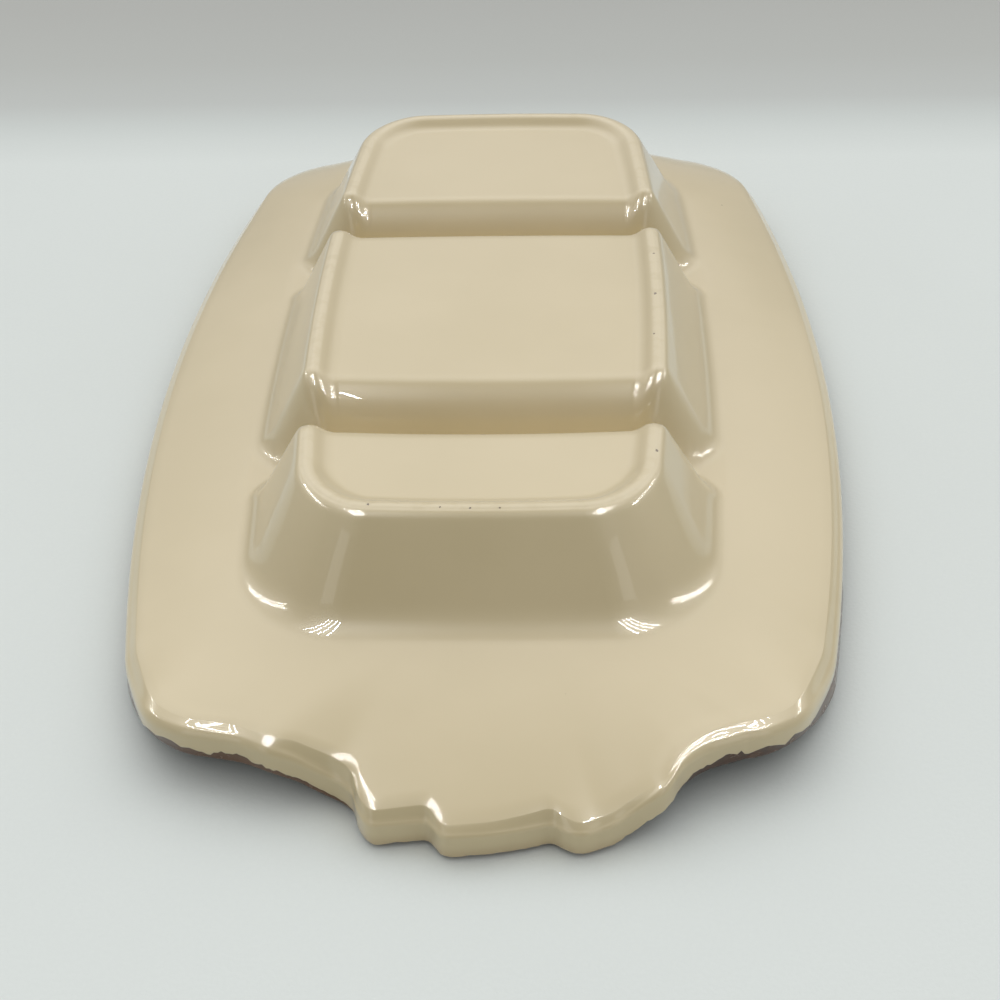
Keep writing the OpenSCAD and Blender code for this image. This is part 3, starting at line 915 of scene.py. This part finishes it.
# Where the room is bright: direction, the cosine at which it starts, and how bright it is in its middle
ROOM_LIGHTS = (
    ((0.0, 0.0, 1.0), 0.6, 0.2 * ROOM_LEVEL),
    ((-0.82, 0.0, 0.57), 0.4, 0.62 * ROOM_LEVEL),
    ((0.82, 0.0, 0.57), 0.4, 0.67 * ROOM_LEVEL),
    ((0.0, 0.9, 0.42), 0.5, 0.49 * ROOM_LEVEL),
    ((0.0, -0.97, 0.26), 0.4, 0.28 * ROOM_LEVEL),
    ((0.0, 0.57, 0.82), 0.75, 0.9 * ROOM_LEVEL),
    ((-0.5, 0.5, 0.707), 0.75, 0.65 * ROOM_LEVEL),
    ((0.5, 0.5, 0.707), 0.75, 0.57 * ROOM_LEVEL))

# Lamps, in metres and watts: overhead strips, strips on the walls, and a pale upright opening to the left
# and right of the camera that shows in the near wall's corners
SIDES = ((-1, "left"), (1, "right"))
LAMP_COLOUR = (1.0, 0.985, 0.95)
STRIP_WIDTH = 0.004

STRIP_PLACES = (0.15, 0.19, 0.23, 0.27)
STRIP_HEIGHT = 0.52
STRIP_MIDDLE_Y = -0.29
STRIP_LENGTH = 0.42
STRIP_WATTS = 0.6

WALL_STRIP_PLACE = 0.62
WALL_STRIP_HEIGHTS = (0.38, 0.42, 0.46)
WALL_STRIP_MIDDLE_Y = 0.05
WALL_STRIP_LENGTH = 0.5
WALL_STRIP_WATTS = 0.5

DOORWAY_PLACE = (0.55, -0.85, 0.3)
DOORWAY_SIZE = (0.25, 0.5)
DOORWAY_WATTS = 0.3


def strip(name, place, turn, size, watts):
    """A bright panel that shows in the glaze as a glint and adds no soft light."""
    lamp = bpy.data.lights.new(name, "AREA")
    lamp.shape = "RECTANGLE"
    lamp.size, lamp.size_y = size
    lamp.energy = watts
    lamp.color = LAMP_COLOUR
    made = bpy.data.objects.new(name, lamp)
    made.location = place
    made.rotation_euler = turn
    made.visible_diffuse = False
    bpy.context.collection.objects.link(made)


for number, place in enumerate(STRIP_PLACES):
    for side, name in SIDES:
        strip(f"{name}_strip_{number}", (side * place, STRIP_MIDDLE_Y, STRIP_HEIGHT), (0, 0, 0),
              (STRIP_WIDTH, STRIP_LENGTH), STRIP_WATTS)
for number, height in enumerate(WALL_STRIP_HEIGHTS):
    for side, name in SIDES:
        strip(f"{name}_wall_strip_{number}", (side * WALL_STRIP_PLACE, WALL_STRIP_MIDDLE_Y, height),
              (0, side * math.atan2(WALL_STRIP_PLACE, height), 0),
              (STRIP_WIDTH, WALL_STRIP_LENGTH), WALL_STRIP_WATTS)
for side, name in SIDES:
    x, y, z = DOORWAY_PLACE
    strip(f"{name}_doorway", (side * x, y, z), (math.pi / 2, 0, side * math.atan2(x, -y)),
          DOORWAY_SIZE, DOORWAY_WATTS)


def soft_room():
    """Soft light from all round, brighter in lobes round the directions in ROOM_LIGHTS."""
    world = bpy.data.worlds.new("soft_room")
    bpy.context.scene.world = world
    world.use_nodes = True
    tree = world.node_tree
    background = tree.nodes["Background"]
    background.inputs["Color"].default_value = ROOM_COLOUR
    place = tree.nodes.new("ShaderNodeTexCoord")
    total = ROOM_DARKEST
    for direction, start, level in ROOM_LIGHTS:
        dot = tree.nodes.new("ShaderNodeVectorMath")
        dot.operation = "DOT_PRODUCT"
        dot.inputs[1].default_value = direction
        tree.links.new(place.outputs["Generated"], dot.inputs[0])
        lobe = faded(tree, dot.outputs["Value"], start, 1.0)
        total = added(tree, scaled(tree, lobe, level), total)
    tree.links.new(total, background.inputs["Strength"])


soft_room()


# Camera, placed in metres

PICTURE_PX = 1000
FOCAL_PX = 1704.0
SENSOR_MM = 36
PITCH = math.radians(38.4)
YAW = math.radians(3.16)
ROLL = math.radians(-2.12)
CAMERA_PLACE = (0.0229, -0.40604, 0.29052)


def photo_camera():
    """The camera, turned to its heading, tipped down and rolled to the angles that the photograph shows."""
    turn = Matrix.Rotation(YAW, 3, "Z")
    ahead = turn @ Vector((0, math.cos(PITCH), -math.sin(PITCH)))
    right = turn @ Vector((1, 0, 0))
    up = right.cross(ahead)
    level_right = right * math.cos(ROLL) + up * math.sin(ROLL)
    level_up = up * math.cos(ROLL) - right * math.sin(ROLL)
    lens = bpy.data.cameras.new("photo_camera")
    lens.sensor_width = SENSOR_MM
    lens.lens = FOCAL_PX * SENSOR_MM / PICTURE_PX
    lens.clip_start = 0.01
    made = bpy.data.objects.new("photo_camera", lens)
    facing = Matrix((level_right, level_up, -ahead)).transposed().to_4x4()
    made.matrix_world = Matrix.Translation(CAMERA_PLACE) @ facing
    bpy.context.collection.objects.link(made)
    bpy.context.scene.camera = made


photo_camera()
bpy.context.scene.view_settings.view_transform = "Standard"
